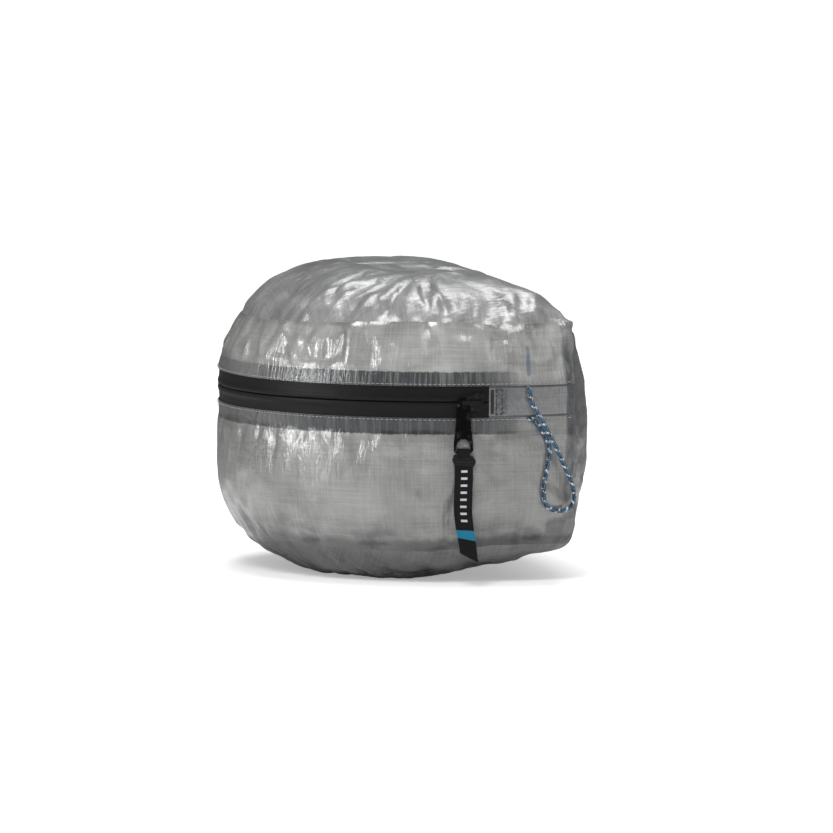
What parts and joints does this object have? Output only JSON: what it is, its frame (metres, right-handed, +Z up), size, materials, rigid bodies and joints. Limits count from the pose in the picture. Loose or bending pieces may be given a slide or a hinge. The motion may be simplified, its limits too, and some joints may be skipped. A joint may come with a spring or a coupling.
{
  "type": "stuff sack",
  "caption": "Soft half-moon stuff sack of grey translucent laminate with a zip round its curved front, a hanging ribbon pull and a cord loop, packed full and closed.",
  "frame": {"origin": "centre of the zip's circular arc, dropped to the resting face", "axes": "+Z up; the curved front faces -Y, the flat back faces +Y, and the closed slider is at the +X end"},
  "size_m": [0.2492, 0.1833, 0.1604],
  "materials": {
    "laminate_top": "translucent satin",
    "laminate_wall": "translucent satin",
    "zip_coating": "matte",
    "zip_coil": "matte",
    "thread_dark": "matte",
    "thread_light": "matte",
    "binding": "matte",
    "cord": "matte",
    "slider_paint": "satin",
    "tab_paint": "satin",
    "ribbon": "matte"
  },
  "bodies": {
    "sack": {"top_panel": "laminate_top", "bottom_panel": "laminate_wall", "back_panel": "laminate_wall", "upper_wall": "laminate_wall", "lower_wall": "laminate_wall", "zip_tape_upper": "zip_coating", "zip_tape_lower": "zip_coating", "zip_coil_upper": "zip_coil", "zip_coil_lower": "zip_coil", "end_tab_near": "laminate_wall", "end_tab_far": "laminate_wall", "bartack_near": "thread_dark", "bartack_far": "thread_dark", "topstitch_upper": "thread_light", "topstitch_lower": "thread_light", "top_seam_binding": "binding", "bottom_seam_binding": "binding", "corner_binding_near": "binding", "corner_binding_far": "binding", "cord_tail": "cord"},
    "slider": {"slider_body": "slider_paint", "slider_bridge": "slider_paint"},
    "tab": {"pull_tab": "tab_paint"},
    "ribbon": {"pull_ribbon": "ribbon", "ribbon_wrap": "ribbon"},
    "cord": {"cord_loop": "cord"}
  },
  "joints": [
    {"name": "slider_travel", "type": "hinge", "parent": "sack", "child": "slider", "pos_m": [0, 0, 0.0957], "axis": [0, 0, -1], "range_deg": [0, 166.2]},
    {"name": "tab_swivel", "type": "hinge", "parent": "slider", "child": "tab", "pos_m": [0.123, -0.01952, 0.0957], "axis": [0.9928, -0.1201, 0], "range_deg": [-85, 15]},
    {"name": "ribbon_swing", "type": "hinge", "parent": "tab", "child": "ribbon", "pos_m": [0.123, -0.01952, 0.0702], "axis": [-0.1201, -0.9928, 0], "range_deg": [-4, 120]},
    {"name": "cord_swing", "type": "hinge", "parent": "sack", "child": "cord", "pos_m": [0.12232, 0.01632, 0.0947], "axis": [0, 0, -1], "range_deg": [0, 90]}
  ]
}
